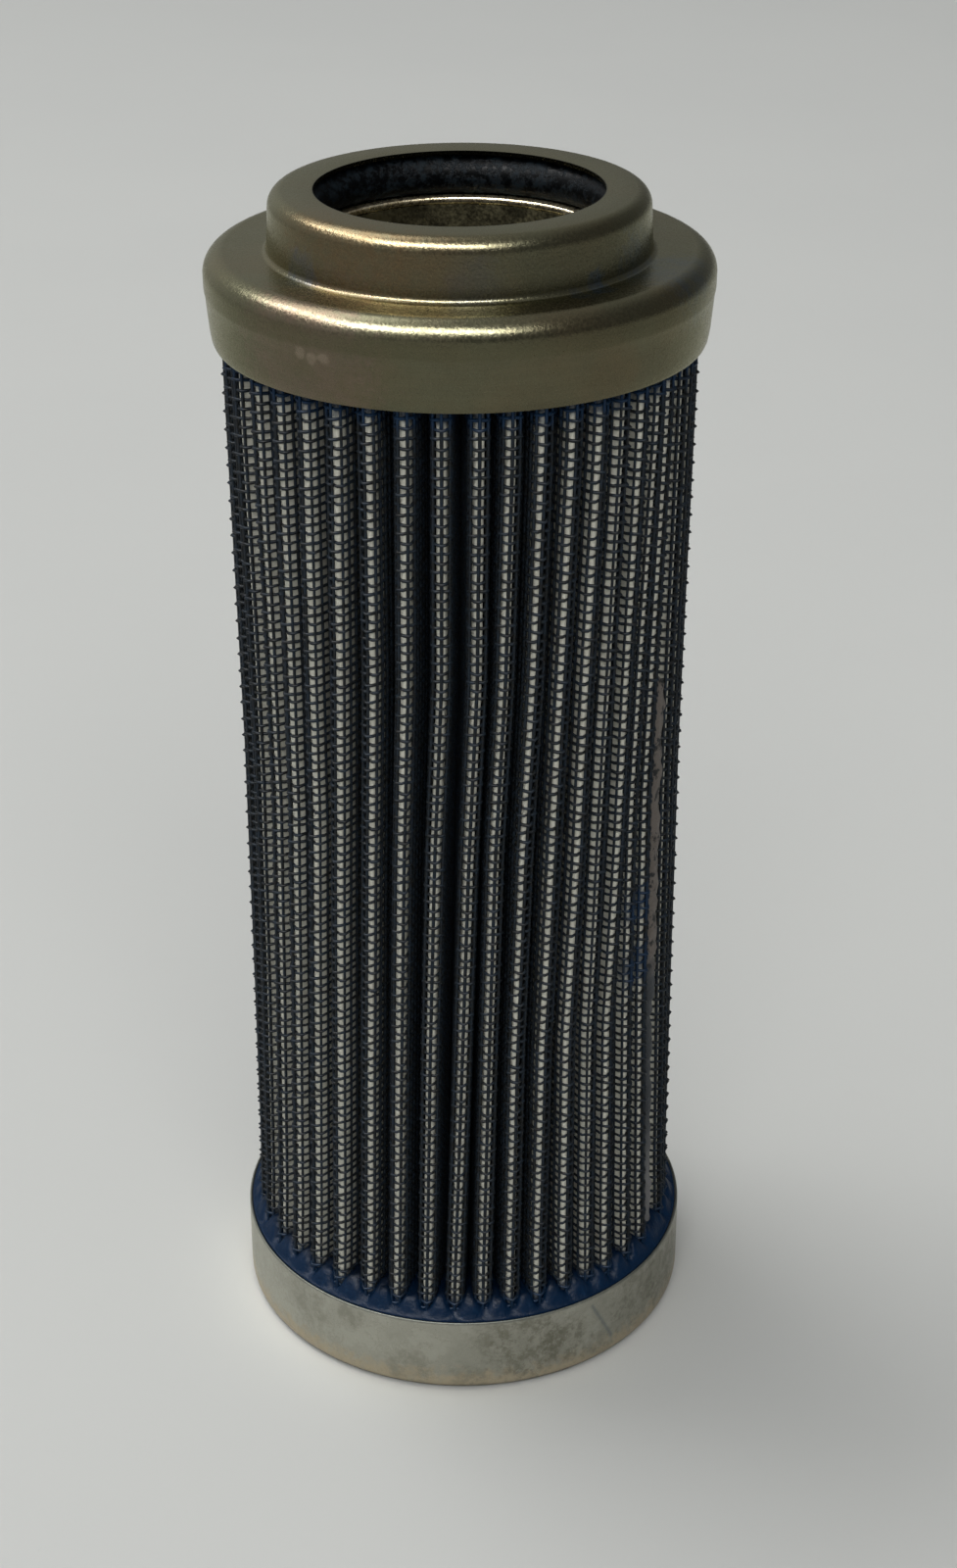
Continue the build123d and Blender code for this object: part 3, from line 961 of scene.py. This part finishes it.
class FILTER_OT_seam(bpy.types.Operator):
    """Builds the bead that closes the pack's two ends, between two folds at the right."""

    bl_idname = "filter.seam"
    bl_label = "Seam bead"

    def execute(self, context):
        bead_radius, bead_top = 23.0, TOP - 34.0
        heights = np.linspace(PACK_LOW + 0.3, bead_top, 120)
        bearings = fold_bearings(heights)
        middle = (bearings[:, SEAM_FOLD] + bearings[:, SEAM_FOLD + 1]) / 2
        waves = (
            0.12 * np.sin(heights * 0.9) + 0.10 * np.sin(heights * 2.3 + 1) + 0.05 * np.sin(heights * 5.1)
        )
        out = bead_radius + np.interp(heights, WAIST_HEIGHTS, WAIST) + waves * 0.8
        sunk_between_folds = np.interp(heights, [81.5, 85.0], [0, 2.6])
        out -= sunk_between_folds
        run = np.stack([out * np.sin(middle), -out * np.cos(middle), heights], -1)
        piece = tubes("seam_bead", [run], 1.0, resolution=4)
        spots = points_of(piece)
        centre = np.stack([np.interp(spots[:, 2], heights, run[:, k]) for k in (0, 1)], -1)
        turn = np.interp(spots[:, 2], heights, middle)
        arm = spots[:, :2] - centre
        outward = arm[:, 0] * np.sin(turn) - arm[:, 1] * np.cos(turn)
        across = arm[:, 0] * np.cos(turn) + arm[:, 1] * np.sin(turn)
        swell = 1 + 0.10 * np.sin(spots[:, 2] * 3.1) + 0.08 * np.sin(spots[:, 2] * 7.7 + 2)
        thin = np.interp(spots[:, 2], [40, 47], [0.62, 1.0])
        outward = outward * 0.85 * swell * thin
        across = across * 1.25 * thin
        spots[:, 0] = centre[:, 0] + outward * np.sin(turn) + across * np.cos(turn)
        spots[:, 1] = centre[:, 1] - outward * np.cos(turn) + across * np.sin(turn)
        move_points(piece, spots)
        hand_over(piece, seam_glue(), "seam_adhesive", "seam_adhesive")
        return {"FINISHED"}


class FILTER_OT_stage(bpy.types.Operator):
    """Sets up the pale floor, the soft lamps, the room's light and the camera."""

    bl_idname = "filter.stage"
    bl_label = "Stage"

    def execute(self, context):
        stage = context.scene.filter_stage
        clean_start()
        bpy.ops.mesh.primitive_plane_add(size=6, location=(0, 0, 0))
        floor = context.object
        floor.name = "floor"
        floor.data.materials.append(floor_paper())
        self.lamp("ceiling_lamp", stage.key_power, 0.80, 0.80, (-0.62, 0.42, 1.35))
        self.lamp("strip_lamp", stage.strip_power, 0.85, 0.13, (-0.17, -0.49, 0.74), spread=False)
        self.lamp("side_strip_lamp", stage.strip_power * 0.7, 1.20, 0.13, (-0.66, -0.10, 0.85), spread=False)
        self.lamp("front_lamp", stage.fill_power, 0.90, 0.90, (0.05, -0.95, 0.80), mirrored=False)
        world = bpy.data.worlds.new("room")
        world.use_nodes = True
        tree = world.node_tree
        way = tree.nodes.new("ShaderNodeTexCoord").outputs["Generated"]
        towards_light = vector_calc(tree, "DOT_PRODUCT", way, (-0.75, 0.10, 0.65))
        share = step_between(tree, towards_light, -0.10, 0.80)
        room = tree.nodes["Background"]
        room.inputs["Color"].default_value = (0.97, 0.985, 1.0, 1)
        tree.links.new(calc(tree, "MULTIPLY_ADD", share, stage.sky, 0.16), room.inputs["Strength"])
        context.scene.world = world
        middle = Vector((0, 0, TOP / 2 * MM))
        turn = Euler((pi / 2 - stage.pitch, 0, 0)).to_matrix() @ Euler((0, 0, stage.roll)).to_matrix()
        spot = middle + turn @ Vector((0, 0, stage.distance))
        bpy.ops.object.camera_add(location=spot, rotation=turn.to_euler())
        camera = context.object
        camera.name = "camera"
        camera.data.sensor_width = 36
        camera.data.lens = 58.43
        # The object's middle lies 16.9 pixels left of the picture's and 10.8 above it, in a height of 1600
        camera.data.shift_x = 16.9 / 1600
        camera.data.shift_y = -10.8 / 1600
        context.scene.camera = camera
        context.scene.view_settings.view_transform = "Standard"
        return {"FINISHED"}

    def lamp(self, name, power, width, height, spot, spread=True, mirrored=True):
        """A flat lamp aimed at the object, which may light matt surfaces, be mirrored, or both."""
        aim = Vector((0, 0, 0.06)) - Vector(spot)
        bpy.ops.object.light_add(type="AREA", location=spot, rotation=aim.to_track_quat("-Z", "Y").to_euler())
        lamp = bpy.context.object
        lamp.name = name
        lamp.data.shape = "RECTANGLE"
        lamp.data.size = width
        lamp.data.size_y = height
        lamp.data.energy = power
        lamp.visible_diffuse = spread
        lamp.visible_glossy = mirrored


class FILTER_PT_panel(bpy.types.Panel):
    """A box for each group of settings, with the buttons that build its pieces."""

    bl_idname = "FILTER_PT_panel"
    bl_label = "Filter element"
    bl_space_type = "VIEW_3D"
    bl_region_type = "UI"
    bl_category = "Filter element"

    def draw(self, context):
        for group, operators in LAYOUT.items():
            box = self.layout.box()
            for operator in operators:
                box.operator(operator.bl_idname)
            settings = getattr(context.scene, group)
            for name in settings.__annotations__:
                box.prop(settings, name)


LAYOUT = {
    "filter_caps": (FILTER_OT_upper_cap, FILTER_OT_lower_cap, FILTER_OT_seal),
    "filter_pack": (FILTER_OT_cloth, FILTER_OT_wires),
    "filter_glue": (FILTER_OT_glue, FILTER_OT_seam),
    "filter_stage": (FILTER_OT_stage,),
}
SETTINGS = {
    "filter_caps": FilterCapSettings,
    "filter_pack": FilterPackSettings,
    "filter_glue": FilterGlueSettings,
    "filter_stage": FilterStageSettings,
}


def classes():
    """Every class, in the order in which Blender needs them."""
    return [*SETTINGS.values(), *(kind for kinds in LAYOUT.values() for kind in kinds), FILTER_PT_panel]


def register():
    for kind in classes():
        bpy.utils.register_class(kind)
    for name, kind in SETTINGS.items():
        setattr(bpy.types.Scene, name, PointerProperty(type=kind))


def unregister():
    for name in SETTINGS:
        delattr(bpy.types.Scene, name)
    for kind in reversed(classes()):
        bpy.utils.unregister_class(kind)


def main():
    """Builds every piece in order."""
    register()
    bpy.ops.filter.upper_cap()
    bpy.ops.filter.lower_cap()
    bpy.ops.filter.seal()
    bpy.ops.filter.cloth()
    bpy.ops.filter.wires()
    bpy.ops.filter.glue()
    bpy.ops.filter.seam()
    bpy.ops.filter.stage()


if __name__ == "__main__":
    main()
